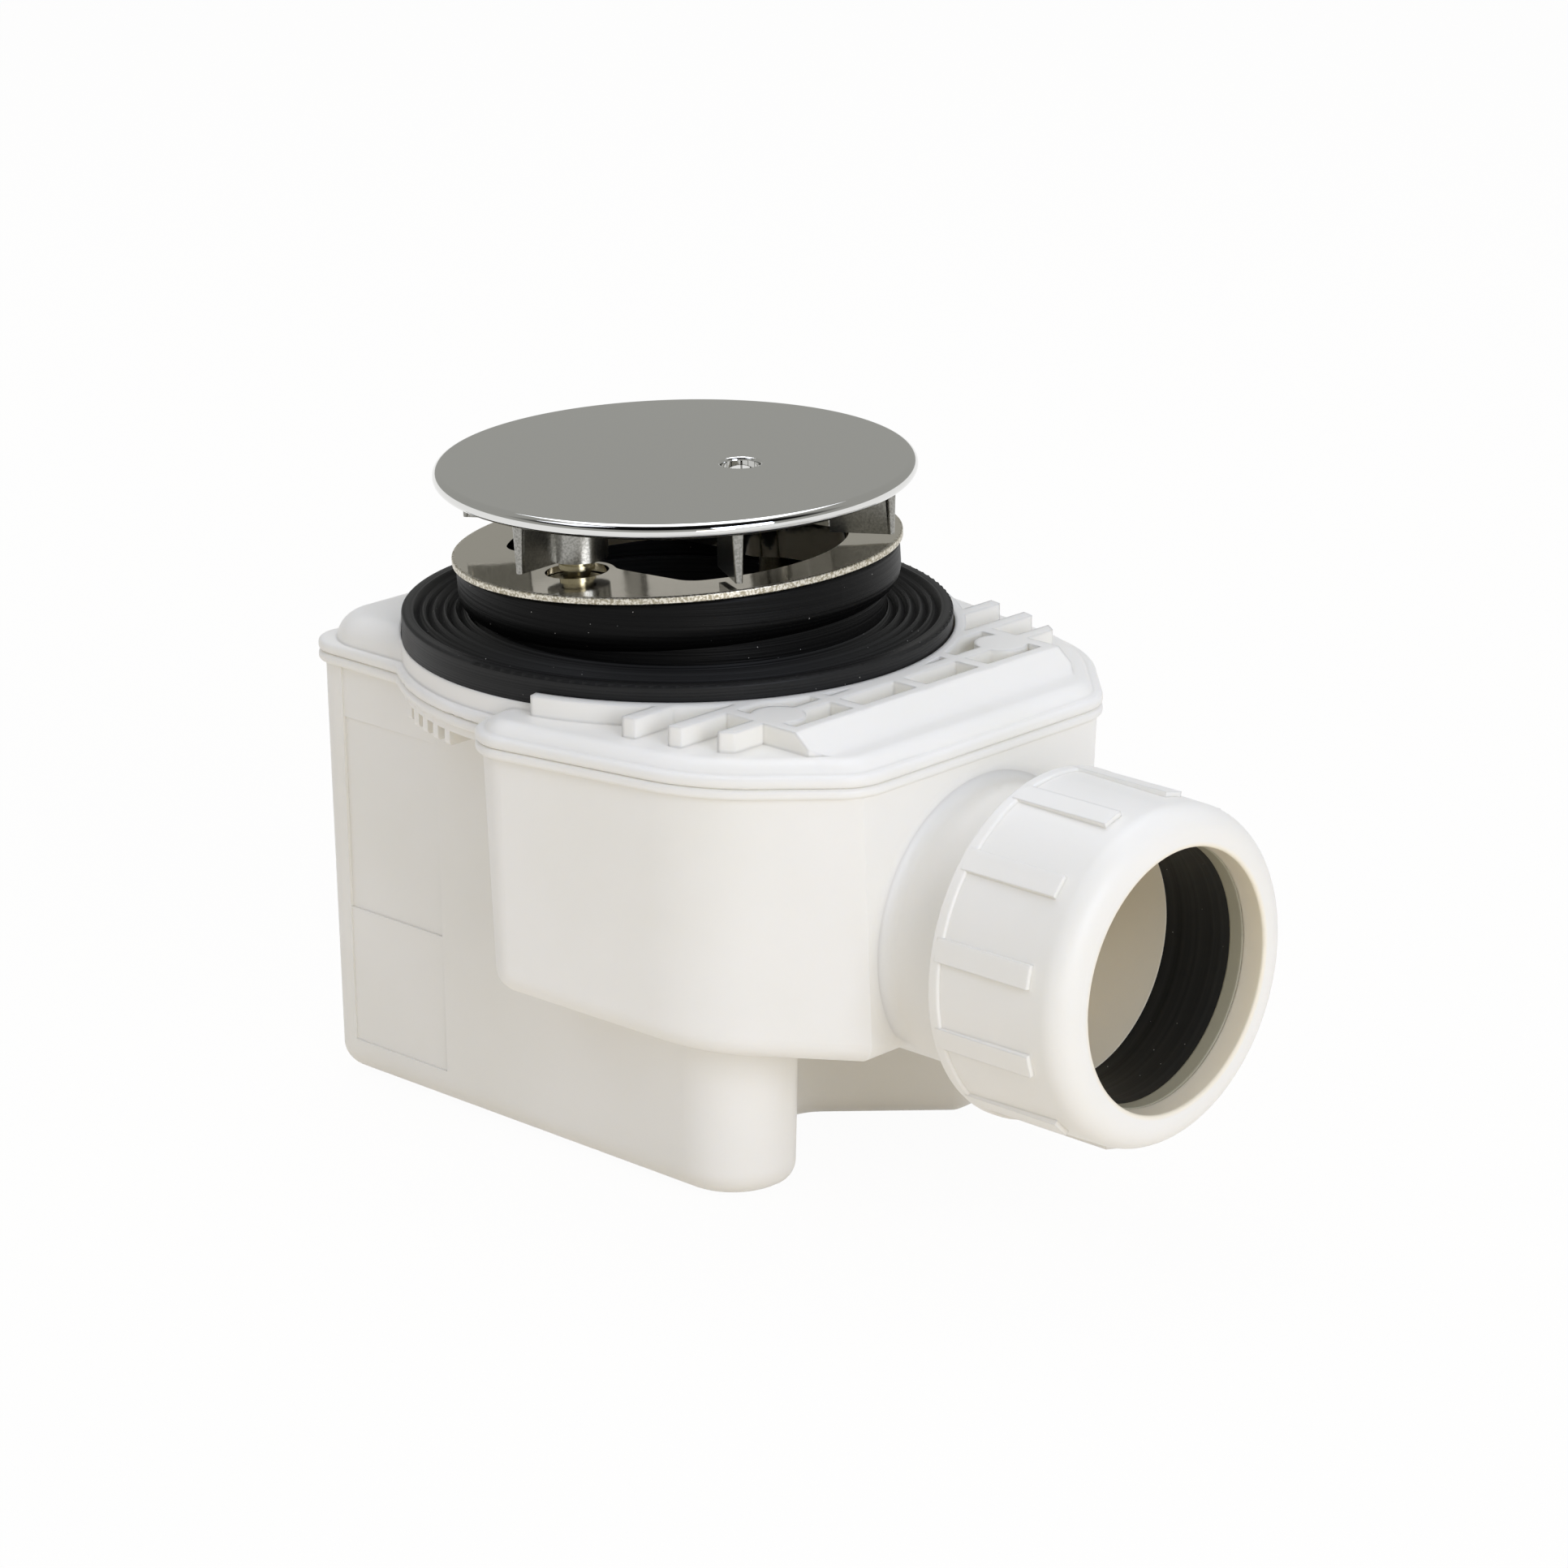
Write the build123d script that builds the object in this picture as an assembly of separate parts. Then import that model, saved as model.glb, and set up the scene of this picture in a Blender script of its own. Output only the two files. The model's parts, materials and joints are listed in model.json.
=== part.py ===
from build123d import *
import math
import os

# Shower trap, millimetres. The drain axis is X = Y = 0, the base is Z = 0,
# the outlet leaves along +X.

# Trap body
wall = 2.2                    # moulded wall thickness
rim_height = 71.7             # base to the welded joint under the lid
rim_overhang = 1.1            # rim bead proud of the walls
body_bead = 1.7               # height of the body's half of the bead
bead_round = 0.7
seat_rim_radius = 44.8        # round part of the rim, below the lower seal
rim_corner_round = 1.5

# Sump, the deep part under the drain
sump_back = 47.6              # drain axis to the back wall, below the rim
sump_front = 45.3             # drain axis to the tips of the two arms
sump_half_width = 34.5
sump_draft = 1.1
sump_back_round = 4.5
sump_front_round = 12.0
notch_apex = 26.2             # drain axis to the bottom of the V between the arms
notch_tip_round = 5.0
notch_apex_round = 4.0
base_round = 4.5
weir_height = 61.5            # overflow edge between the sump and the chamber

# Chamber on the outlet side
chamber_back = 4.5
chamber_back_half = 51.9
chamber_side_x = 46.9         # where the long sides turn towards the outlet face
chamber_side_half = 44.1
outlet_face = 64.1
outlet_face_half = 26.9
chamber_draft = 2.3           # all walls but the outlet face, which a slide forms upright
slide_depth = 10.0            # overlap of the drafted block past the outlet face
chamber_back_round = 6.0
chamber_side_round = 28.0
chamber_front_round = 8.0     # corner of the rim and the lid
chamber_floor = 31.6          # underside of the chamber floor at its back
floor_fall = 5.2              # slope of the floor to the outlet
floor_round = 4.0

# Webs under the round rim and the label field on one side
web_count = 6
web_pitch = 3.4
web_start = -24.6
web_thickness = 1.1
web_depth = 5.5               # welded joint to the webs' lower ends
web_inset = 0.9               # webs and skirt in from the edge of the rim
web_round = 0.8
skirt_height = 1.3            # plate below the bead that carries the webs
label_left = -41.4
label_width = 21.5
label_bottom = 29.0
label_top = 61.4
strip_bottom = 6.0
label_depth = 0.3

# Outlet
outlet_height = 43.7          # axis above the base
pipe_radius = 20.0
pipe_clearance = 0.3
passage_radius = 18.0         # bore behind the pipe stop
passage_back = 48.0
neck_radius = 22.2
neck_fillet = 2.8
spigot_foot = 0.3             # boss on the outlet face that the spigot is joined to
thread_radius = 23.8
thread_start = 78.5
spigot_end = 91.0
seal_pocket = 84.0            # where the spigot widens for the seal
seal_pocket_radius = 22.5

# Compression nut, slip ring and seal
nut_back = 77.4
nut_length = 25.4
nut_band = 2.1                # plain band at the back
nut_radius = 26.9
nut_front_radius = 26.4
nut_front_round = 4.2
nut_lip = 4.0
nut_edge_round = 0.4
nut_hole_radius = 20.45
thread_clearance = 0.2
grip_count = 12
grip_width = 3.7
grip_length = 16.7
grip_height = 0.4
grip_phase = 13.0             # first rib above the horizontal
ring_thickness = 2.5
ring_clearance = 0.15
ring_round = 0.3

# Lid
lid_bead = 1.9
lid_height = 4.9              # welded joint to the seat of the lower seal
seat_radius = 43.7
back_rise = 1.2               # corners behind the seal, above its seat
back_round = 4.5              # top round of those corners
lid_corner_round = 9.0
deck_drop = 1.2               # seat to the deck between the ribs on the outlet side
front_edge = 0.3              # upright edge below the deck's round
lip_inner = 43.9
lip_thickness = 1.7
lip_half_angle = 75.0
rib_rise = 2.0                # seat to the tops of the ribs and the lip
rib_thickness = 2.2
cross_ribs = (30.3, 38.4, 45.9)        # X of the ribs that run across
long_ribs = (0.0, 14.3, 29.0)          # distance of the ribs that run along from the middle
front_rib = 53.4              # outer top edge of the rib along the outlet edge
front_rib_foot = 57.5
front_rib_round = 0.6
front_foot_round = 5.0        # hollow between the rib and the deck
teeth_inset = 5.3             # free rib ends, in from the wall line
pad_radius = 4.2
pad_x = 45.6
pad_y = 25.4

# Throat in the lid
throat_radius = 27.5
throat_depth = 13.1           # seat to the underside of the throat's floor
collar_drop = 4.5
screw_offset = 22.2           # clamp screws from the drain axis
screw_post_radius = 5.6
screw_post_drop = 2.6         # seat to the tops of the screw posts

# Dip tube and its ring
tube_radius = 16.8
tube_wall = 1.8
tube_bottom = 10.0
tube_flange_thickness = 2.0
tube_clearance = 0.5
ring_section = 2.2            # O-ring section
oring_clearance = 0.05

# Seals of the drain
lower_seal_radius = 43.6
lower_seal_inner = 28.0
lower_seal_thickness = 4.5
ridge_count = 6
ridge_inner = 31.6
ridge_outer = 41.8
ridge_depth = 1.0
lower_seal_round = 0.5
upper_seal_top_radius = 35.0
upper_seal_foot_radius = 32.4
upper_seal_inner = 29.0
upper_seal_band = 1.3         # height of the step at the foot
bowl_shoulder = 6.4           # depth of the upright part below the flange
bowl_round = 4.0
bowl_lip_round = 0.8

# Flange
flange_radius = 35.6
flange_thickness = 1.2
flange_rise = 10.6            # lower seal to the flange's upper face
flange_rock = 3.8             # lean on the loose seal, about the line through the screws
flange_edge_round = 0.25
opening_radius = 27.2
opening_half = 18.2           # drain axis to the straight sides
lobe_radius = 5.9
lobe_blend = 5.0
collar_wall = 1.4
collar_depth = 5.2
dish_radius = 5.0
dish_depth = 2.5

# Clamp screws and their inserts
screw_lag = 0.9               # one screw is run down less than its twin
shank_radius = 2.4
screw_clearance = 0.25
head_radius = 4.6
head_thickness = 0.7
stem_radius = 2.1
stem_length = 2.0
pin_collar_radius = 2.85
pin_collar_height = 0.8
pin_radius = 2.4
pin_seat = 0.1                # play between a pin's end and the cap
insert_radius = 3.4
insert_length = 8.6
insert_clearance = 0.03

# Cover cap
cap_radius = 38.1
cap_edge = 2.5
cap_dome = 0.5
cap_rise = 2.4                # flange to the lower ends of the fins and sockets
cap_rock = 0.8                # lean about the line through the screws
fin_count = 6
fin_height = 8.2
fin_outer = 35.3
fin_length = 9.6
fin_thickness = 1.1
fin_rib_top = 0.95
fin_rib_foot = 0.6
socket_radius = 4.9
socket_clearance = 0.4
hole_radius = 3.1
hole_round = 0.5
hole_offset = 11.3
hole_angle = 18.6

socket_bore = pipe_radius + pipe_clearance
spigot_joint = outlet_face + spigot_foot
seat_height = rim_height + lid_height
front_deck = seat_height - deck_drop
rib_top = seat_height + rib_rise
throat_floor = seat_height - throat_depth
screw_post_top = seat_height - screw_post_drop
seal_top = seat_height + lower_seal_thickness
flange_top = seal_top + flange_rise
cap_foot = flange_top + cap_rise
insert_bottom = screw_post_top - insert_length
screw_tilt = math.degrees(math.atan(screw_lag / (2 * screw_offset)))


def rounded_face(corners):
    points = [(x, y) for x, y, _ in corners]
    return make_face(FilletPolyline(*points, radius=[r for _, _, r in corners], close=True))


def mirrored_outline(half):
    """Close an outline given for -Y by its mirror image on +Y."""
    return half + [(x, -y, r) for x, y, r in reversed(half) if y != 0]


def turned(corners, axis):
    """Revolve an outline of (along X, along Z, round) corners about a main axis."""
    return revolve(Plane.XZ * rounded_face(corners), axis)


def prism(plan, bottom, top):
    return extrude(Pos(0, 0, bottom) * plan, top - bottom)


def drafted(plan, bottom, top, draft):
    """Moulded block: the plan at its top, drawn in by the draft towards the bottom."""
    return extrude(Pos(0, 0, top) * plan, top - bottom, dir=(0, 0, -1), taper=draft)


def sump_plan(back_round=sump_back_round):
    notch_tip = sump_front - notch_apex
    return rounded_face(mirrored_outline([
        (-sump_back, -sump_half_width, back_round),
        (sump_front, -sump_half_width, sump_front_round),
        (sump_front, -notch_tip, notch_tip_round),
        (notch_apex, 0, notch_apex_round),
    ]))


def sump_block(plan, bottom, edge_round):
    block = drafted(plan, bottom, rim_height, sump_draft)
    return fillet(block.edges().group_by(Axis.Z)[0], edge_round)


def chamber_plan(reach=0, front_round=chamber_front_round):
    """Outline of the chamber; with a reach its slanting sides run on past the outlet face."""
    return rounded_face(mirrored_outline([
        (chamber_back, -chamber_back_half, chamber_back_round),
        (chamber_side_x, -chamber_side_half, chamber_side_round),
        (outlet_face + reach, reach - outlet_face_half, front_round),
    ]))


def chamber_block(inset):
    """Chamber with a floor that falls to the outlet, or the space inside when inset by the wall."""
    plan = offset(chamber_plan(slide_depth, 0), -inset)
    block = drafted(plan, 0, rim_height, chamber_draft)
    block &= Pos(outlet_face - inset, 0, 0) * Box(
        4 * outlet_face, 4 * outlet_face, 4 * outlet_face,
        align=(Align.MAX, Align.CENTER, Align.CENTER))
    fall = math.radians(floor_fall)
    floor = Plane((chamber_back, 0, chamber_floor + inset), z_dir=(math.sin(fall), 0, math.cos(fall)))
    block = split(block, bisect_by=floor, keep=Keep.TOP)
    return fillet(block.faces().sort_by(Axis.Z)[0].edges(), floor_round - inset)


def rim_plan():
    """Outline of the bead: both parts of the body and the round below the lower seal."""
    plan = offset(sump_plan() + chamber_plan(), rim_overhang) + Circle(seat_rim_radius)
    return offset(offset(plan, rim_corner_round), -rim_corner_round)


def bead(bottom, top):
    plate = prism(rim_plan(), bottom, top)
    edges = plate.edges()
    return fillet(edges.group_by(Axis.Z)[0] + edges.group_by(Axis.Z)[-1], bead_round)


def rim_webs():
    """Skirt below the round rim and the comb of webs that ties it to the sump's sides."""
    under_rim = rim_height - body_bead / 2
    foot = rim_height - web_depth
    edge = seat_rim_radius - web_inset
    webs = prism(Circle(edge), rim_height - body_bead - skirt_height, under_rim)
    for index in range(web_count):
        x = web_start + index * web_pitch
        reach = math.sqrt(edge**2 - x**2)
        web = rounded_face([
            (sump_half_width - wall, foot, 0),
            (reach, foot, web_round),
            (reach, under_rim, 0),
            (sump_half_width - wall, under_rim, 0),
        ])
        web = extrude(Plane((x, 0, 0), x_dir=(0, 1, 0), z_dir=(1, 0, 0)) * web,
                      web_thickness / 2, both=True)
        webs += web + mirror(web, Plane.XZ)
    return webs


def label_field():
    """Shallow strip on the -Y side, twice as deep inside the label's own rectangle."""
    strip_top = rim_height - body_bead
    strip = Box(label_width, 2 * wall, strip_top - strip_bottom)
    panel = Box(label_width, 2 * wall, label_top - label_bottom)
    middle = label_left + label_width / 2
    strip = Pos(middle, -sump_half_width, (strip_bottom + strip_top) / 2) * strip
    panel = Pos(middle, -sump_half_width, (label_bottom + label_top) / 2) * panel
    shallow = drafted(offset(sump_plan(), -label_depth), 0, rim_height, sump_draft)
    deep = drafted(offset(sump_plan(), -2 * label_depth), 0, rim_height, sump_draft)
    return (strip - shallow) + (panel - deep)


def along_outlet(start, end, radius):
    """Round bar on the outlet axis."""
    return Pos(start, 0, outlet_height) * Rot(Y=90) * Cylinder(
        radius, end - start, align=(Align.CENTER, Align.CENTER, Align.MIN))


def outlet_chamber():
    """Chamber and the neck of the spigot, rounded into the outlet face."""
    block = chamber_block(0) + along_outlet(passage_back - wall, spigot_end, neck_radius)
    root = block.edges().filter_by(GeomType.CIRCLE).sort_by_distance(
        (outlet_face, 0, outlet_height + neck_radius))[0]
    return fillet(root, neck_fillet) + along_outlet(thread_start, spigot_end, thread_radius)


def moulded_body():
    body = sump_block(sump_plan(), 0, base_round) + outlet_chamber()
    body -= prism(Rectangle(4 * sump_back, 4 * sump_back), rim_height - body_bead / 2, 2 * rim_height)
    body += bead(rim_height - body_bead, rim_height) + rim_webs()
    body -= label_field()
    weir = prism(sump_plan(), 0, weir_height)
    body -= sump_block(offset(sump_plan(), -wall), wall, base_round - wall)
    body -= chamber_block(wall) - weir
    body -= along_outlet(passage_back, spigot_end, passage_radius)
    body -= along_outlet(spigot_joint, spigot_end, socket_bore)
    return body - along_outlet(seal_pocket, spigot_end, seal_pocket_radius)


def spigot_space():
    return along_outlet(spigot_joint, spigot_end, neck_radius + neck_fillet)


def trap_body():
    return moulded_body() - spigot_space()


def outlet_spigot():
    return moulded_body() & spigot_space()


def rib_lattice():
    """Ribs on the outlet side of the deck, trimmed to the lip and to their free ends."""
    foot = front_deck - wall / 2
    span = 2 * chamber_back_half
    ribs = Part()
    for x in cross_ribs:
        ribs += Pos(x, 0, (foot + rib_top) / 2) * Box(rib_thickness, span, rib_top - foot)
    inner_x = cross_ribs[1]
    for y in long_ribs:
        start = 0 if y < lip_inner / 2 else inner_x
        rib = Pos(start, y, foot) * Box(
            front_rib - start, rib_thickness, rib_top - foot,
            align=(Align.MIN, Align.CENTER, Align.MIN))
        ribs += rib + mirror(rib, Plane.XZ)
    for y in (-pad_y, pad_y):
        ribs += Pos(pad_x, y, (foot + rib_top) / 2) * Cylinder(pad_radius, rib_top - foot)
    free_ends = prism(offset(chamber_plan(), -teeth_inset), foot, rib_top)
    ribs = ribs & free_ends
    hollow = front_rib_foot + front_foot_round / 2
    edge = rounded_face([
        (front_rib - rib_thickness, foot, 0),
        (hollow, foot, 0),
        (hollow, front_deck, 0),
        (front_rib_foot, front_deck, front_foot_round),
        (front_rib, rib_top, front_rib_round),
        (front_rib - rib_thickness, rib_top, front_rib_round),
    ])
    half_edge = long_ribs[-1] + rib_thickness / 2
    ribs += extrude(Plane.XZ * edge, half_edge, both=True)
    return ribs - Cylinder(lip_inner + lip_thickness / 2, 4 * rim_height)


def seat_lip():
    lip = Pos(0, 0, (seat_height + rib_top) / 2 - wall / 2) * (
        Cylinder(lip_inner + lip_thickness, rib_top - seat_height + wall)
        - Cylinder(lip_inner, 4 * rim_height))
    reach = 2 * seat_rim_radius
    side = reach * math.tan(math.radians(lip_half_angle))
    wedge = make_face(Polyline((0, 0), (reach, -side), (reach, side), close=True))
    return lip & prism(wedge, seat_height - wall, rib_top)


def trap_lid():
    back_deck = prism(sump_plan(lid_corner_round), rim_height, seat_height + back_rise)
    back_deck = fillet(back_deck.edges().group_by(Axis.Z)[-1], back_round)
    back_deck -= prism(Circle(seat_radius), seat_height, 2 * seat_height)
    front = prism(chamber_plan(), rim_height, front_deck)
    front = fillet(front.edges().group_by(Axis.Z)[-1], front_deck - rim_height - front_edge)
    back_deck -= Pos(chamber_back + seat_radius, 0, seat_height) * Box(
        2 * seat_radius, 4 * seat_radius, 4 * wall)
    lid = bead(rim_height, rim_height + lid_bead) + front + back_deck
    lid += prism(Circle(seat_radius), rim_height, seat_height)
    lid += seat_lip() + rib_lattice()
    lid -= prism(offset(sump_plan() + chamber_plan(), -2 * wall), rim_height, front_deck - wall)
    lid += prism(Circle(throat_radius + wall), throat_floor, seat_height)
    lid += prism(Circle(tube_radius + tube_clearance + wall), throat_floor - collar_drop, throat_floor)
    lid -= prism(Circle(throat_radius), throat_floor + wall, 2 * seat_height)
    for y in (-screw_offset, screw_offset):
        lid += Pos(0, y) * prism(Circle(screw_post_radius), throat_floor, screw_post_top)
        lid -= Pos(0, y) * prism(
            Circle(insert_radius + insert_clearance), insert_bottom, 2 * seat_height)
    return lid - prism(Circle(tube_radius + tube_clearance), 0, seat_height)


def dip_tube():
    seat = throat_floor + wall
    flange_radius_clear = throat_radius - tube_clearance
    groove = throat_floor - collar_drop / 2
    depth = ring_section - tube_clearance + 2 * oring_clearance
    tube = turned([
        (tube_radius - tube_wall, tube_bottom, 0),
        (tube_radius, tube_bottom, 0),
        (tube_radius, groove - ring_section / 2 - oring_clearance, 0),
        (tube_radius - depth, groove - ring_section / 2 - oring_clearance, 0),
        (tube_radius - depth, groove + ring_section / 2 + oring_clearance, 0),
        (tube_radius, groove + ring_section / 2 + oring_clearance, 0),
        (tube_radius, seat, 0),
        (flange_radius_clear, seat, 0),
        (flange_radius_clear, seat + tube_flange_thickness, 0),
        (tube_radius - tube_wall - depth, seat + tube_flange_thickness, 0),
        (tube_radius - tube_wall - depth, groove - collar_drop, 0),
    ], Axis.Z)
    for y in (-screw_offset, screw_offset):
        tube -= Pos(0, y) * prism(Circle(screw_post_radius + tube_clearance), seat, seat_height)
    return tube


def dip_tube_oring():
    groove = throat_floor - collar_drop / 2
    middle = tube_radius + tube_clearance - oring_clearance - ring_section / 2
    return Pos(0, 0, groove) * Torus(middle, ring_section / 2)


def lower_seal():
    """Flat ring with concentric ridges cut in its upper face."""
    pitch = (ridge_outer - ridge_inner) / ridge_count
    top = [(lower_seal_radius, seat_height, 0), (lower_seal_radius, seal_top, lower_seal_round)]
    for index in range(ridge_count):
        crest = ridge_outer - index * pitch
        top += [(crest, seal_top, 0), (crest - pitch / 2, seal_top - ridge_depth, 0)]
    top += [(ridge_inner, seal_top, 0), (lower_seal_inner, seal_top, 0)]
    return turned(top + [(lower_seal_inner, seat_height, 0)], Axis.Z)


def on_flange(piece):
    """Place a piece that is modelled with the flange's upper face at Z = 0."""
    return Pos(0, 0, flange_top) * Rot(X=screw_tilt) * Rot(Y=-flange_rock) * piece


def on_cap(piece):
    """Place a piece that is modelled with the ends of the cap's fins at Z = 0."""
    return Pos(0, 0, cap_foot) * Rot(X=screw_tilt) * Rot(Y=-cap_rock) * piece


def upper_seal():
    """Rubber bowl that follows the leaning flange and lies flat on the lower seal."""
    lip = -flange_thickness
    foot = seal_top - flange_top
    bowl = turned([
        (upper_seal_inner, lip, 0),
        (upper_seal_top_radius, lip, bowl_lip_round),
        (upper_seal_top_radius, lip - bowl_shoulder, bowl_round),
        (upper_seal_foot_radius, foot + upper_seal_band, 0),
        (upper_seal_foot_radius, 2 * foot, 0),
        (upper_seal_inner, 2 * foot, 0),
    ], Axis.Z)
    return on_flange(bowl) - Pos(0, 0, seal_top) * Box(
        4 * flange_radius, 4 * flange_radius, 4 * flange_radius,
        align=(Align.CENTER, Align.CENTER, Align.MAX))


def flange_opening(inset):
    """Round opening with two straight sides and a lobe left round each clamp screw."""
    plan = Circle(opening_radius) & Rectangle(4 * opening_radius, 2 * opening_half)
    for side in (-1, 1):
        plan -= Pos(0, side * screw_offset) * Circle(lobe_radius)
    return offset(offset(plan, -lobe_blend), lobe_blend - inset)


def valve_flange():
    plate = prism(Circle(flange_radius), -flange_thickness, 0)
    plate = fillet(plate.edges(), flange_edge_round)
    collar_foot = -flange_thickness - collar_depth
    plate += prism(flange_opening(-collar_wall), collar_foot, -flange_thickness / 2)
    for y in (-screw_offset, screw_offset):
        plate += Pos(0, y) * prism(
            Circle(dish_radius + collar_wall), -flange_thickness - dish_depth, -flange_thickness)
        plate -= Pos(0, y) * prism(Circle(dish_radius), -dish_depth, flange_thickness)
        plate -= Pos(0, y) * prism(
            Circle(shank_radius + 2 * screw_clearance), collar_foot, flange_thickness)
    return on_flange(plate - prism(flange_opening(0), 2 * collar_foot, flange_thickness))


def flange_screws():
    """Clamp screws with a flat head in the dish and a pin that carries the cap above it."""
    lean = math.tan(math.radians(flange_rock + screw_tilt)) * head_radius
    screws = Part()
    for side in (-1, 1):
        rise = side * screw_lag / 2
        head = flange_top + rise - dish_depth + lean
        stem = head + head_thickness
        pin_collar = stem + stem_length
        pin_end = cap_foot + rise + fin_height - pin_seat
        screw = prism(Circle(shank_radius), insert_bottom + screw_clearance, head)
        screw += prism(Circle(head_radius), head, stem)
        screw += prism(Circle(stem_radius), stem, pin_collar)
        screw += prism(Circle(pin_collar_radius), pin_collar, pin_collar + pin_collar_height)
        screw += prism(Circle(pin_radius), pin_collar + pin_collar_height, pin_end)
        screws += Pos(0, side * screw_offset) * screw
    return screws


def screw_inserts():
    inserts = Part()
    for y in (-screw_offset, screw_offset):
        insert = prism(Circle(insert_radius), insert_bottom, screw_post_top)
        insert -= prism(Circle(shank_radius + screw_clearance / 2), 0, seat_height)
        inserts += Pos(0, y) * insert
    return inserts


def cap_fin():
    """Radial fin on +X with a tapered rib down its outer edge."""
    plate = Pos(fin_outer - fin_rib_top, 0) * Box(
        fin_length, fin_thickness, fin_height, align=(Align.MAX, Align.CENTER, Align.MIN))
    rib = Pos(fin_outer - fin_rib_top, 0) * Cone(
        fin_rib_foot, fin_rib_top, fin_height, align=(Align.CENTER, Align.CENTER, Align.MIN))
    return plate + rib


def cover_cap():
    edge = cap_edge / 2
    top = fin_height + cap_edge
    rim = cap_radius - edge
    dome_radius = (rim**2 + cap_dome**2) / (2 * cap_dome)
    outline = make_face(
        RadiusArc((0, top + cap_dome), (rim, top), dome_radius)
        + ThreePointArc((rim, top), (cap_radius, top - edge), (rim, fin_height))
        + Polyline((rim, fin_height), (0, fin_height), (0, top + cap_dome)))
    cap = revolve(Plane.XZ * outline, Axis.Z)
    for index in range(fin_count):
        cap += Rot(Z=30 + index * 360 / fin_count) * cap_fin()
    for y in (-screw_offset, screw_offset):
        cap += Pos(0, y) * prism(Circle(socket_radius), 0, fin_height)
        cap -= Pos(0, y) * prism(Circle(pin_radius + socket_clearance), 0, fin_height)
    lift = Rot(Z=hole_angle) * Pos(hole_offset, 0)
    cap -= lift * prism(Circle(hole_radius), 0, 2 * top)
    hole_edge = cap.edges().sort_by_distance((lift.position.X, lift.position.Y, 2 * top))[0]
    return on_cap(fillet(hole_edge, hole_round))


def compression_nut():
    back = nut_back
    front = nut_back + nut_length
    bore = thread_radius + thread_clearance
    nut = turned([
        (back, bore, 0),
        (back, nut_radius, nut_edge_round),
        (front, nut_front_radius, nut_front_round),
        (front, nut_hole_radius, nut_edge_round),
        (front - nut_lip, nut_hole_radius, 0),
        (front - nut_lip, bore, 0),
    ], Axis.X)
    band = turned([
        (back, bore, 0),
        (back, nut_radius + grip_height, nut_edge_round),
        (back + nut_band, nut_radius + grip_height, nut_edge_round),
        (back + nut_band, bore, 0),
    ], Axis.X)
    nut += band
    for index in range(grip_count):
        grip = Pos(back + nut_band / 2, 0, nut_radius - wall) * Box(
            grip_length + nut_band / 2, grip_width, wall + grip_height,
            align=(Align.MIN, Align.CENTER, Align.MIN))
        nut += Rot(X=90 - grip_phase + index * 360 / grip_count) * grip
    return Pos(0, 0, outlet_height) * nut


def thrust_ring():
    front = nut_back + nut_length - nut_lip
    outside = thread_radius + thread_clearance - ring_clearance
    ring = turned([
        (front - ring_thickness, socket_bore, 0),
        (front - ring_thickness, outside, ring_round),
        (front, outside, ring_round),
        (front, socket_bore, ring_round),
    ], Axis.X)
    return Pos(0, 0, outlet_height) * ring


def outlet_seal():
    front = nut_back + nut_length - nut_lip - ring_thickness
    outside = thread_radius + thread_clearance - ring_clearance
    sleeve = seal_pocket_radius - ring_clearance
    seal = turned([
        (seal_pocket, socket_bore, 0),
        (seal_pocket, sleeve, 0),
        (spigot_end, sleeve, 0),
        (spigot_end, outside, 0),
        (front, outside, 0),
        (front, socket_bore, 0),
    ], Axis.X)
    return Pos(0, 0, outlet_height) * seal


os.makedirs("parts", exist_ok=True)
for piece in (
    trap_body, outlet_spigot, trap_lid, lower_seal, upper_seal, valve_flange, flange_screws,
    screw_inserts, dip_tube, dip_tube_oring, cover_cap, compression_nut, thrust_ring, outlet_seal,
):
    export_step(piece(), f"parts/{piece.__name__}.step")
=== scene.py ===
import bmesh
import bpy
import json
import math
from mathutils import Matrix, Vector

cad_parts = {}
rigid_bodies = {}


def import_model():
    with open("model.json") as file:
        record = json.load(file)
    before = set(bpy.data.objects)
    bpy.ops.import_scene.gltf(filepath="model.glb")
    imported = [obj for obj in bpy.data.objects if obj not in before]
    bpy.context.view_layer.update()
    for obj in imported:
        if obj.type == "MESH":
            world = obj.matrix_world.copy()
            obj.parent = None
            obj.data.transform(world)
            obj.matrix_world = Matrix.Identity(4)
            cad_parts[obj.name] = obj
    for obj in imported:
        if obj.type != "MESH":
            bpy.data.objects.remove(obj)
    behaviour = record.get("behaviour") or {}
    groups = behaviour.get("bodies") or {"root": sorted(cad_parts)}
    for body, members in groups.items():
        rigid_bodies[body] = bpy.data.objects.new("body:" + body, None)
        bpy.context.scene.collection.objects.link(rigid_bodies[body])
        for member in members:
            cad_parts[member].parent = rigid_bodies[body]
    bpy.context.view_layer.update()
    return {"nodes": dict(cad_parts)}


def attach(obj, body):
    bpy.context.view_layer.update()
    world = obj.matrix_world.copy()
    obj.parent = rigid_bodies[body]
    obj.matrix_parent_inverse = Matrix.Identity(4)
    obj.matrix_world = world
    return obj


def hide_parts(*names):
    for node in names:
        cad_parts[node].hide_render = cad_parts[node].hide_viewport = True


for leftover in list(bpy.data.objects):  # Blender's start-up objects
    bpy.data.objects.remove(leftover)

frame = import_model()
nodes = frame["nodes"]
mm = 0.001
outletMm = 43.7  # height of the outlet's axis, which runs along X
print("frame loaded:", len(nodes), "CAD nodes")


def hexLinear(code):
    channels = [int(code[i:i + 2], 16) / 255 for i in (0, 2, 4)]
    linear = [c / 12.92 if c <= 0.04045 else ((c + 0.055) / 1.055) ** 2.4 for c in channels]
    return (*linear, 1.0)


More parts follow.
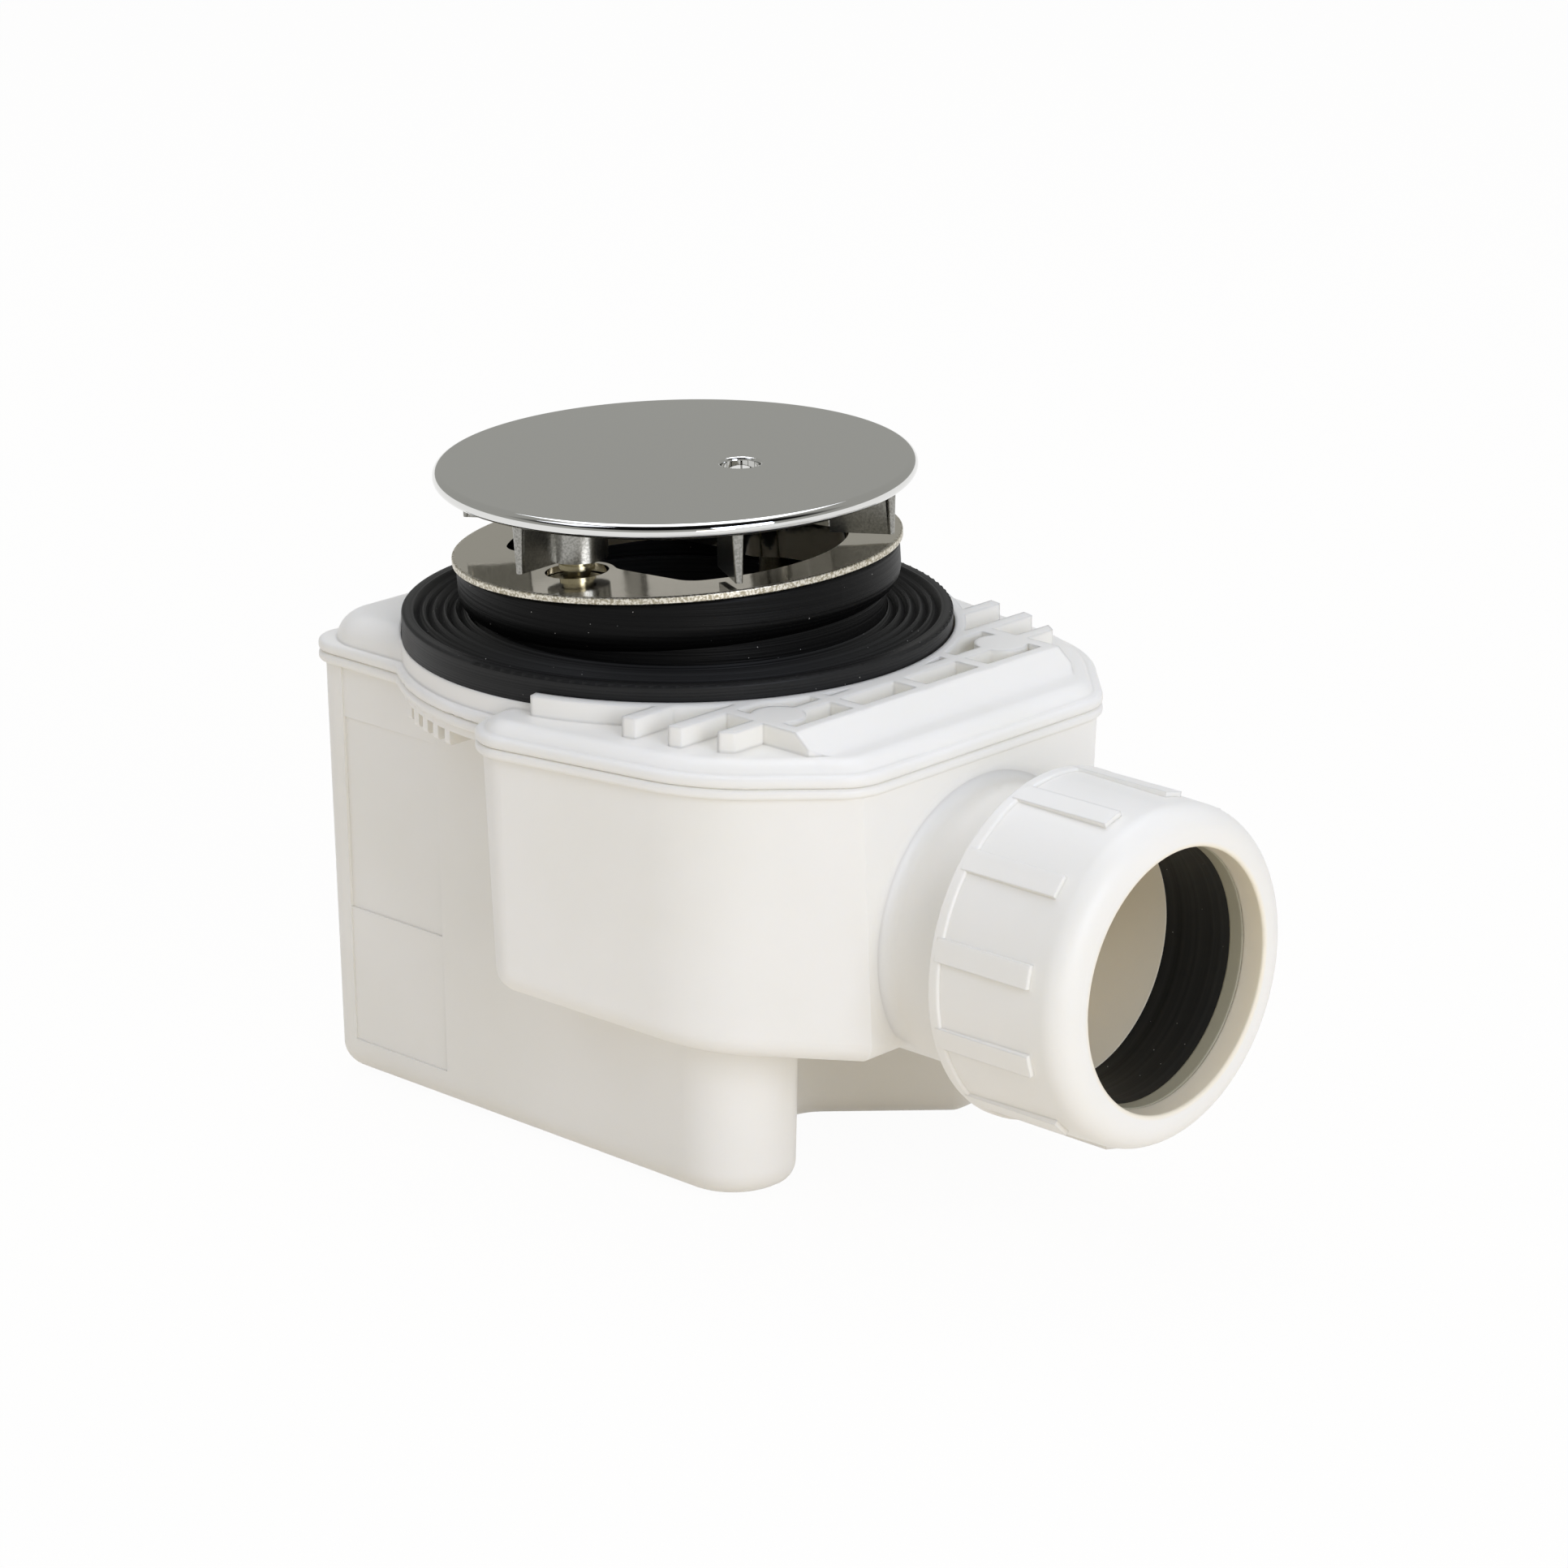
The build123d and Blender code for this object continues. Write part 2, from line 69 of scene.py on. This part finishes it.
def addNode(tree, kind, settings=None, links=None):
    node = tree.nodes.new(kind)
    for name, value in (settings or {}).items():
        if isinstance(name, int) or name in node.inputs:
            node.inputs[name].default_value = value
        else:
            setattr(node, name, value)
    for name, source in (links or {}).items():
        tree.links.new(source, node.inputs[name])
    return node


def newMaterial(name):
    material = bpy.data.materials.new(name)
    material.use_nodes = True
    material.node_tree.nodes.clear()
    return material, material.node_tree


def setRamp(node, stops, colours):
    for element, stop, colour in zip(node.color_ramp.elements, stops, colours):
        element.position = stop
        element.color = hexLinear(colour)


# Polypropylene, injection moulded: milky white, a painted warm shade down the outlet's bore, soft edges, a satin skin
# with a fine grain
whitePolypropylene = {
    "bright": "F3F0E8", "dull": "EEEBE1", "cloudMm": 35, "cloudStops": (0.3, 0.7),
    # The beige below is a painted warm shade, standing in for light through the plastic in the outlet's bore
    "inside": "F4EAD2", "insideMm": (21.3, 20.6), "paintedShadeAlongMm": (28, 34),  # radius in the outlet, place along it
    "edgeMm": 0.4, "seamMm": 64.4, "seamRadiusMm": 33, "seamWideMm": 1.2,
    "grainMm": 0.45, "grainDeepMm": 0.006,  # coarser than the real skin, so that it shows
    "roughness": 0.42, "ior": 1.49, "glow": 0.25, "glowMm": 2.0, "glowTint": (1.0, 0.92, 0.78),
}


def makePolypropylene(name, look):
    material, tree = newMaterial(name)
    place = addNode(tree, "ShaderNodeTexCoord").outputs["Object"]
    cloud = addNode(tree, "ShaderNodeTexNoise", {"Scale": 1 / (look["cloudMm"] * mm), "Detail": 3.0},
                    {"Vector": place})
    tone = addNode(tree, "ShaderNodeValToRGB", None, {"Fac": cloud.outputs["Fac"]})
    setRamp(tone, look["cloudStops"], (look["dull"], look["bright"]))

    # Painted warm shade: beige where the wall lies down the outlet's bore
    along = addNode(tree, "ShaderNodeSeparateXYZ", None, {"Vector": place}).outputs["X"]
    fromAxis = addNode(tree, "ShaderNodeVectorMath", {"operation": "SUBTRACT", 1: (0, 0, outletMm * mm)}, {0: place})
    flat = addNode(tree, "ShaderNodeVectorMath", {"operation": "MULTIPLY", 1: (0, 1, 1)},
                   {0: fromAxis.outputs["Vector"]})
    radius = addNode(tree, "ShaderNodeVectorMath", {"operation": "LENGTH"},
                     {0: flat.outputs["Vector"]}).outputs["Value"]
    within = addNode(tree, "ShaderNodeMapRange", {
        "From Min": look["insideMm"][0] * mm, "From Max": look["insideMm"][1] * mm}, {"Value": radius})
    paintedShadeAlong = addNode(tree, "ShaderNodeMapRange", {
        "From Min": look["paintedShadeAlongMm"][0] * mm, "From Max": look["paintedShadeAlongMm"][1] * mm}, {"Value": along})
    inside = addNode(tree, "ShaderNodeMath", {"operation": "MULTIPLY"},
                     {0: within.outputs["Result"], 1: paintedShadeAlong.outputs["Result"]})
    colour = addNode(tree, "ShaderNodeMix", {"data_type": "RGBA", 7: hexLinear(look["inside"])},
                     {0: inside.outputs["Value"], 6: tone.outputs["Color"]})

    # Soft edges, but none where the body runs on into its spigot
    onSeam = addNode(tree, "ShaderNodeMath", {
        "operation": "COMPARE", 1: look["seamMm"] * mm, 2: look["seamWideMm"] * mm}, {0: along})
    nearNeck = addNode(tree, "ShaderNodeMath", {"operation": "LESS_THAN", 1: look["seamRadiusMm"] * mm}, {0: radius})
    seam = addNode(tree, "ShaderNodeMath", {"operation": "MULTIPLY"},
                   {0: onSeam.outputs["Value"], 1: nearNeck.outputs["Value"]})
    soft = addNode(tree, "ShaderNodeMapRange", {"To Min": look["edgeMm"] * mm, "To Max": 0.0},
                   {"Value": seam.outputs["Value"]})
    edge = addNode(tree, "ShaderNodeBevel", {"samples": 6}, {"Radius": soft.outputs["Result"]})
    grain = addNode(tree, "ShaderNodeTexNoise", {"Scale": 1 / (look["grainMm"] * mm), "Detail": 2.0},
                    {"Vector": place})
    bump = addNode(tree, "ShaderNodeBump", {"Strength": 0.5, "Distance": look["grainDeepMm"] * mm},
                   {"Height": grain.outputs["Fac"], "Normal": edge.outputs["Normal"]})
    shader = addNode(tree, "ShaderNodeBsdfPrincipled", {
        "Roughness": look["roughness"], "IOR": look["ior"], "Subsurface Weight": look["glow"],
        "Subsurface Radius": look["glowTint"], "Subsurface Scale": look["glowMm"] * mm,
    }, {"Base Color": colour.outputs[2], "Normal": bump.outputs["Normal"]})
    addNode(tree, "ShaderNodeOutputMaterial", None, {"Surface": shader.outputs["BSDF"]})
    return material


# EPDM rubber, compression moulded: near black, fine rings left by the turned mould, specks of pale dust
blackRubber = {
    "base": "0F0F0F", "worn": "2B2B2A", "ringMm": 0.5, "ringDeepMm": 0.2, "ringStops": (0.35, 0.75),
    "speck": "A9A7A0", "speckCellMm": 1.5, "speckMm": 0.1, "roughness": 0.44, "ior": 1.28,
    "turnDegrees": (0, 0, 0), "shiftMm": (0, 0, 0),
}


def makeRubber(name, look):
    material, tree = newMaterial(name)
    place = addNode(tree, "ShaderNodeTexCoord").outputs["Object"]
    onAxis = addNode(tree, "ShaderNodeMapping", {
        "Rotation": [math.radians(turn) for turn in look["turnDegrees"]],
        "Location": Vector(look["shiftMm"]) * mm,
    }, {"Vector": place})
    along = addNode(tree, "ShaderNodeSeparateXYZ", None, {"Vector": onAxis.outputs["Vector"]})
    across = addNode(tree, "ShaderNodeCombineXYZ", None, {"X": along.outputs["X"], "Y": along.outputs["Y"]})
    radius = addNode(tree, "ShaderNodeVectorMath", {"operation": "LENGTH"}, {0: across.outputs["Vector"]})
    profile = addNode(tree, "ShaderNodeCombineXYZ", None, {"X": radius.outputs["Value"], "Y": along.outputs["Z"]})
    rings = addNode(tree, "ShaderNodeTexNoise", {"Scale": 1 / (look["ringMm"] * mm), "Detail": 2.0},
                    {"Vector": profile.outputs["Vector"]})
    tone = addNode(tree, "ShaderNodeValToRGB", None, {"Fac": rings.outputs["Fac"]})
    setRamp(tone, look["ringStops"], (look["base"], look["worn"]))

    # Each cell holds one speck of its own size
    cells = addNode(tree, "ShaderNodeTexVoronoi", {"Scale": 1 / (look["speckCellMm"] * mm)}, {"Vector": place})
    chance = addNode(tree, "ShaderNodeSeparateXYZ", None, {"Vector": cells.outputs["Color"]})
    size = addNode(tree, "ShaderNodeMath", {"operation": "MULTIPLY", 1: look["speckMm"] / look["speckCellMm"]},
                   {0: chance.outputs["X"]})
    speck = addNode(tree, "ShaderNodeMath", {"operation": "LESS_THAN"},
                    {0: cells.outputs["Distance"], 1: size.outputs["Value"]})
    dusty = addNode(tree, "ShaderNodeMix", {"data_type": "RGBA", 7: hexLinear(look["speck"])},
                    {0: speck.outputs["Value"], 6: tone.outputs["Color"]})
    bump = addNode(tree, "ShaderNodeBump", {"Strength": 0.5, "Distance": look["ringDeepMm"] * mm},
                   {"Height": rings.outputs["Fac"]})
    shader = addNode(tree, "ShaderNodeBsdfPrincipled", {"Roughness": look["roughness"], "IOR": look["ior"]},
                     {"Base Color": dusty.outputs[2], "Normal": bump.outputs["Normal"]})
    addNode(tree, "ShaderNodeOutputMaterial", None, {"Surface": shader.outputs["BSDF"]})
    return material


# Chromium plate on a die casting: cold mirror on top, grey and grainy on the fins and the underside
chromePlate = {
    "base": "DEDEDC", "roughness": (0.02, 0.05), "filmMm": 12, "filmDeepMm": 0.003,
    "rawBase": "A09F9A", "rawDark": "8A8984", "rawRoughness": 0.24, "grainMm": 0.35,
    "axis": (-0.01396, -0.02025, 0.99970), "rawMm": (102.45, 102.3),  # the cap leans on its pins
}
# Nickel plate on pressed steel: warm mirror with shallow dents, pale and grainy where the blank was cut
nickelPlate = {
    "base": "D0CABC", "roughness": (0.04, 0.12), "filmMm": 8, "filmDeepMm": 0.12,
    "rawBase": "E6E1D4", "rawDark": "A39B86", "rawRoughness": 0.4, "grainMm": 0.4,
    "rawMm": (34.9, 35.3),
}
# Turned brass: pale yellow, fine tool marks, duller and browner below the heads
turnedBrass = {
    "base": "CBC3A6", "roughness": (0.15, 0.28), "filmMm": 2, "filmDeepMm": 0.01,
    "rawBase": "958F7A", "rawDark": "857F6B", "rawRoughness": 0.3, "grainMm": 0.3,
    "axis": (0, 0, 1), "rawMm": (90.2, 89.6),
}
grainStops = (0.4, 0.58)  # dark and pale ends of the raw metal's grain


def makeMetal(name, look):
    material, tree = newMaterial(name)
    place = addNode(tree, "ShaderNodeTexCoord").outputs["Object"]
    film = addNode(tree, "ShaderNodeTexNoise", {"Scale": 1 / (look["filmMm"] * mm), "Detail": 4.0}, {"Vector": place})
    grain = addNode(tree, "ShaderNodeTexNoise", {"Scale": 1 / (look["grainMm"] * mm), "Detail": 2.0},
                    {"Vector": place})
    gloss = addNode(tree, "ShaderNodeMapRange", {"To Min": look["roughness"][0], "To Max": look["roughness"][1]},
                    {"Value": film.outputs["Fac"]})

    # Raw metal lies below a height on the axis, or else outside a radius
    if "axis" in look:
        reach = addNode(tree, "ShaderNodeVectorMath", {"operation": "DOT_PRODUCT", 1: look["axis"]}, {0: place})
    else:
        flat = addNode(tree, "ShaderNodeVectorMath", {"operation": "MULTIPLY", 1: (1, 1, 0)}, {0: place})
        reach = addNode(tree, "ShaderNodeVectorMath", {"operation": "LENGTH"}, {0: flat.outputs["Vector"]})
    raw = addNode(tree, "ShaderNodeMapRange", {
        "From Min": look["rawMm"][0] * mm, "From Max": look["rawMm"][1] * mm,
    }, {"Value": reach.outputs["Value"]}).outputs["Result"]
    cut = addNode(tree, "ShaderNodeValToRGB", None, {"Fac": grain.outputs["Fac"]})
    setRamp(cut, grainStops, (look["rawDark"], look["rawBase"]))

    colour = addNode(tree, "ShaderNodeMix", {"data_type": "RGBA", 6: hexLinear(look["base"])},
                     {0: raw, 7: cut.outputs["Color"]})
    dull = addNode(tree, "ShaderNodeMix", {3: look["rawRoughness"]}, {0: raw, 2: gloss.outputs["Result"]})
    height = addNode(tree, "ShaderNodeMix", None, {0: raw, 2: film.outputs["Fac"], 3: grain.outputs["Fac"]})
    bump = addNode(tree, "ShaderNodeBump", {"Strength": 0.3, "Distance": look["filmDeepMm"] * mm},
                   {"Height": height.outputs[0]})
    shader = addNode(tree, "ShaderNodeBsdfPrincipled", {"Metallic": 1.0}, {
        "Base Color": colour.outputs[2], "Roughness": dull.outputs[0], "Normal": bump.outputs["Normal"]})
    addNode(tree, "ShaderNodeOutputMaterial", None, {"Surface": shader.outputs["BSDF"]})
    return material


whitePlastic = makePolypropylene("white polypropylene", whitePolypropylene)
# Crisp edges round the body's label field, soft ones on the lid's ribs
bodyPlastic = makePolypropylene("white polypropylene, body", {**whitePolypropylene, "edgeMm": 0.12})
lidPlastic = makePolypropylene("white polypropylene, lid", {**whitePolypropylene, "edgeMm": 0.9})
# Polyethylene slip ring: greyer and less milky than the mouldings, with a darker painted shade in its bore
slipPlastic = makePolypropylene("pale grey polyethylene", {
    **whitePolypropylene, "bright": "C6C3B5", "dull": "BBB8AA", "inside": "A9A48D", "glow": 0.1})
drainRubber = makeRubber("black EPDM rubber", blackRubber)
# Bowl: blacker, with less sheen
bowlRubber = makeRubber("black EPDM rubber, bowl", {**blackRubber, "base": "060606", "worn": "0F0F0E", "ior": 1.22})
# Outlet seal: a little greyer, with wider rings that run round the outlet
outletRubber = makeRubber("black EPDM rubber, outlet", {
    **blackRubber, "base": "171716", "worn": "2E2E2C", "ringMm": 1.4,
    "turnDegrees": (0, -90, 0), "shiftMm": (outletMm, 0, 0)})
chrome = makeMetal("chromium plate", chromePlate)
nickel = makeMetal("nickel plate", nickelPlate)
brass = makeMetal("turned brass", turnedBrass)

finishes = {
    "trap_body": bodyPlastic, "outlet_spigot": whitePlastic, "trap_lid": lidPlastic,
    "compression_nut": whitePlastic, "dip_tube": whitePlastic, "thrust_ring": slipPlastic,
    "lower_seal": drainRubber, "upper_seal": bowlRubber, "outlet_seal": outletRubber,
    "dip_tube_oring": drainRubber, "valve_flange": nickel, "cover_cap": chrome,
    "flange_screws": brass, "screw_inserts": brass,
}
for nodeName, material in finishes.items():
    nodes[nodeName].data.materials.clear()
    nodes[nodeName].data.materials.append(material)
print("materials:", len(set(finishes.values())))

# Front rib of the lid: its two ends stop where the deck's edge begins to round
ribEnd = {
    "middleMm": (58.1, 28.09, 75.42), "slant": (-1, 1, 0), "halfMm": 3.2, "highMm": 6.0,
    "roundMm": 3.4, "roundDegrees": 62, "steps": 8,
}


def makeRibEnds(look):
    bm = bmesh.new()
    middle = Vector(look["middleMm"]) * mm
    slant = Vector(look["slant"]).normalized()
    ends = [bm.verts.new(middle + slant * reach * mm) for reach in (-look["halfMm"], look["halfMm"])]
    edge = bm.edges.new(ends)
    bmesh.ops.spin(bm, geom=[*ends, edge], cent=middle - Vector((0, 0, look["roundMm"] * mm)), axis=slant,
                   angle=math.radians(look["roundDegrees"]), steps=look["steps"])
    raised = bmesh.ops.extrude_face_region(bm, geom=bm.faces[:])["geom"]
    bmesh.ops.translate(bm, verts=[part for part in raised if isinstance(part, bmesh.types.BMVert)],
                        vec=(0, 0, look["highMm"] * mm))
    bmesh.ops.mirror(bm, geom=bm.verts[:] + bm.edges[:] + bm.faces[:], axis="Y", merge_dist=0)
    bmesh.ops.recalc_face_normals(bm, faces=bm.faces)
    mesh = bpy.data.meshes.new("ribEnds")
    bm.to_mesh(mesh)
    bm.free()
    cutter = bpy.data.objects.new("ribEnds", mesh)
    bpy.context.scene.collection.objects.link(cutter)
    return cutter


# Lid: a merged copy of the CAD's lid with those two ends cut away
moulding = {"mergeMm": 0.001, "sharpDegrees": 30}


def makeLid(look):
    bm = bmesh.new()
    bm.from_mesh(nodes["trap_lid"].data)
    bmesh.ops.remove_doubles(bm, verts=bm.verts, dist=look["mergeMm"] * mm)
    mesh = bpy.data.meshes.new("mouldedLid")
    bm.to_mesh(mesh)
    bm.free()
    mesh.attributes.remove(mesh.attributes["custom_normal"])  # it belongs to the loose triangles
    mesh.materials.append(lidPlastic)
    lid = bpy.data.objects.new("mouldedLid", mesh)
    bpy.context.scene.collection.objects.link(lid)
    cutter = makeRibEnds(ribEnd)
    trim = lid.modifiers.new("rib ends", "BOOLEAN")
    trim.operation = "DIFFERENCE"
    trim.object = cutter
    trimmed = bpy.data.meshes.new_from_object(lid.evaluated_get(bpy.context.evaluated_depsgraph_get()))
    lid.modifiers.remove(trim)
    bpy.data.objects.remove(cutter)
    lid.data = trimmed
    trimmed.shade_smooth()
    trimmed.set_sharp_from_angle(angle=math.radians(look["sharpDegrees"]))
    lid.modifiers.new("flat faces stay flat", "WEIGHTED_NORMAL").keep_sharp = True
    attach(lid, "root")
    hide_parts("trap_lid")
    print("lid:", len(mesh.polygons), "faces from the CAD,", len(trimmed.polygons), "trimmed")


makeLid(moulding)


# What the camera sees, straight or in a mirror, is told apart from what lights the trap
def seenDirectly(tree):
    path = addNode(tree, "ShaderNodeLightPath")
    seen = path.outputs["Is Camera Ray"]
    for ray in ("Is Glossy Ray", "Is Transmission Ray"):
        seen = addNode(tree, "ShaderNodeMath", {"operation": "MAXIMUM"}, {0: seen, 1: path.outputs[ray]}).outputs[0]
    return seen


# Paper floor: shown nearly white, warm in the light it throws back, and it keeps the shadow
floorLook = {"half": 4.0, "dropMm": 0.2, "paper": "F6EEDF", "shown": "FFFFFF", "shownShare": 0.955}


def makeFloor(look):
    bm = bmesh.new()
    bmesh.ops.create_grid(bm, x_segments=1, y_segments=1, size=look["half"])
    bmesh.ops.translate(bm, verts=bm.verts, vec=(0, 0, -look["dropMm"] * mm))
    mesh = bpy.data.meshes.new("floor")
    bm.to_mesh(mesh)
    bm.free()
    floor = bpy.data.objects.new("floor", mesh)
    bpy.context.scene.collection.objects.link(floor)
    material, tree = newMaterial("pale paper floor")
    share = addNode(tree, "ShaderNodeMath", {"operation": "MULTIPLY", 1: look["shownShare"]}, {0: seenDirectly(tree)})
    paper = addNode(tree, "ShaderNodeBsdfDiffuse", {"Color": hexLinear(look["paper"])})
    white = addNode(tree, "ShaderNodeEmission", {"Color": hexLinear(look["shown"]), "Strength": 1.0})
    both = addNode(tree, "ShaderNodeMixShader", None,
                   {0: share.outputs[0], 1: paper.outputs["BSDF"], 2: white.outputs["Emission"]})
    addNode(tree, "ShaderNodeOutputMaterial", None, {"Surface": both.outputs["Shader"]})
    mesh.materials.append(material)


# Camera at the photograph's angle
cameraLook = {
    "place": (0.56357, -0.57745, 0.3195), "forward": (-0.6485, 0.6928, -0.3157), "lens": 122.15, "sensor": 36,
}


def makeCamera(look):
    camera = bpy.data.objects.new("camera", bpy.data.cameras.new("camera"))
    camera.data.sensor_width = look["sensor"]
    camera.data.lens = look["lens"]
    camera.location = look["place"]
    camera.rotation_euler = Vector(look["forward"]).to_track_quat("-Z", "Y").to_euler()
    bpy.context.scene.collection.objects.link(camera)
    bpy.context.scene.camera = camera


lamps = {
    "key softbox": {"place": (1.15, -0.28, 0.58), "size": 0.6, "watts": 6.8, "colour": "E6EDFF"},
    "fill softbox": {"place": (-0.35, -0.7, 1.2), "size": 0.5, "watts": 1.3, "colour": "F2F5FF"},
    "top softbox": {"place": (-0.3, 0.3, 1.2), "size": 0.9, "watts": 4.9, "colour": "F2F5FF"},
    "low softbox": {"place": (0.85, -0.45, 0.10), "size": 0.3, "watts": 0.7, "colour": "FFF6E8"},
}
lampAim = Vector((0.02, 0, 0.05))  # middle of the trap


def makeLamp(name, look):
    data = bpy.data.lights.new(name, "AREA")
    data.size = look["size"]
    data.energy = look["watts"]
    data.color = hexLinear(look["colour"])[:3]
    lamp = bpy.data.objects.new(name, data)
    lamp.location = look["place"]
    lamp.rotation_euler = (lampAim - lamp.location).to_track_quat("-Z", "Y").to_euler()
    lamp.visible_camera = False
    bpy.context.scene.collection.objects.link(lamp)


# Room: grey walls, white horizon and ceiling, dark above the camera
roomLook = {
    "wall": "A4A4A0", "front": "0E0E0E", "white": "FFFFFF", "soft": "F2F5FF", "strength": 0.56,
    "turn": (-0.1, 0.2), "high": (0.42, 0.56),  # where the dark begins, towards the camera and upwards
    "lean": 0.36, "ceiling": (0.90, 0.93), "horizon": (0.10, 0.04),  # the ceiling leans away from the camera
}


def makeRoom(look):
    world = bpy.data.worlds.new("studio")
    bpy.context.scene.world = world
    world.use_nodes = True
    tree = world.node_tree
    tree.nodes.clear()
    forward = Vector(cameraLook["forward"])
    overhead = Vector((forward.x * look["lean"], forward.y * look["lean"], 1)).normalized()
    where = addNode(tree, "ShaderNodeTexCoord").outputs["Generated"]
    up = addNode(tree, "ShaderNodeSeparateXYZ", None, {"Vector": where}).outputs["Z"]
    front = addNode(tree, "ShaderNodeVectorMath", {"operation": "DOT_PRODUCT", 1: (-forward.x, -forward.y, 0)},
                    {0: where}).outputs["Value"]
    above = addNode(tree, "ShaderNodeVectorMath", {"operation": "DOT_PRODUCT", 1: overhead},
                    {0: where}).outputs["Value"]

    def within(span, value):
        return addNode(tree, "ShaderNodeMapRange", {"From Min": look[span][0], "From Max": look[span][1]},
                       {"Value": value}).outputs["Result"]

    dark = addNode(tree, "ShaderNodeMath", {"operation": "MULTIPLY"}, {0: within("turn", front), 1: within("high", up)})
    walls = addNode(tree, "ShaderNodeMix", {
        "data_type": "RGBA", 6: hexLinear(look["wall"]), 7: hexLinear(look["front"])}, {0: dark.outputs["Value"]})
    white = addNode(tree, "ShaderNodeMath", {"operation": "MAXIMUM"},
                    {0: within("ceiling", above), 1: within("horizon", up)})
    seen = addNode(tree, "ShaderNodeMix", {"data_type": "RGBA", 7: hexLinear(look["white"])},
                   {0: white.outputs["Value"], 6: walls.outputs[2]})
    shown = addNode(tree, "ShaderNodeBackground", {"Strength": 1.0}, {"Color": seen.outputs[2]})
    soft = addNode(tree, "ShaderNodeBackground", {"Color": hexLinear(look["soft"]), "Strength": look["strength"]})
    both = addNode(tree, "ShaderNodeMixShader", None,
                   {0: seenDirectly(tree), 1: soft.outputs[0], 2: shown.outputs[0]})
    addNode(tree, "ShaderNodeOutputWorld", None, {"Surface": both.outputs[0]})


makeFloor(floorLook)
makeCamera(cameraLook)
for lampName, lampLook in lamps.items():
    makeLamp(lampName, lampLook)
makeRoom(roomLook)
bpy.context.scene.view_settings.view_transform = "Standard"
print("studio: floor, room, camera and", len(lamps), "lamps")
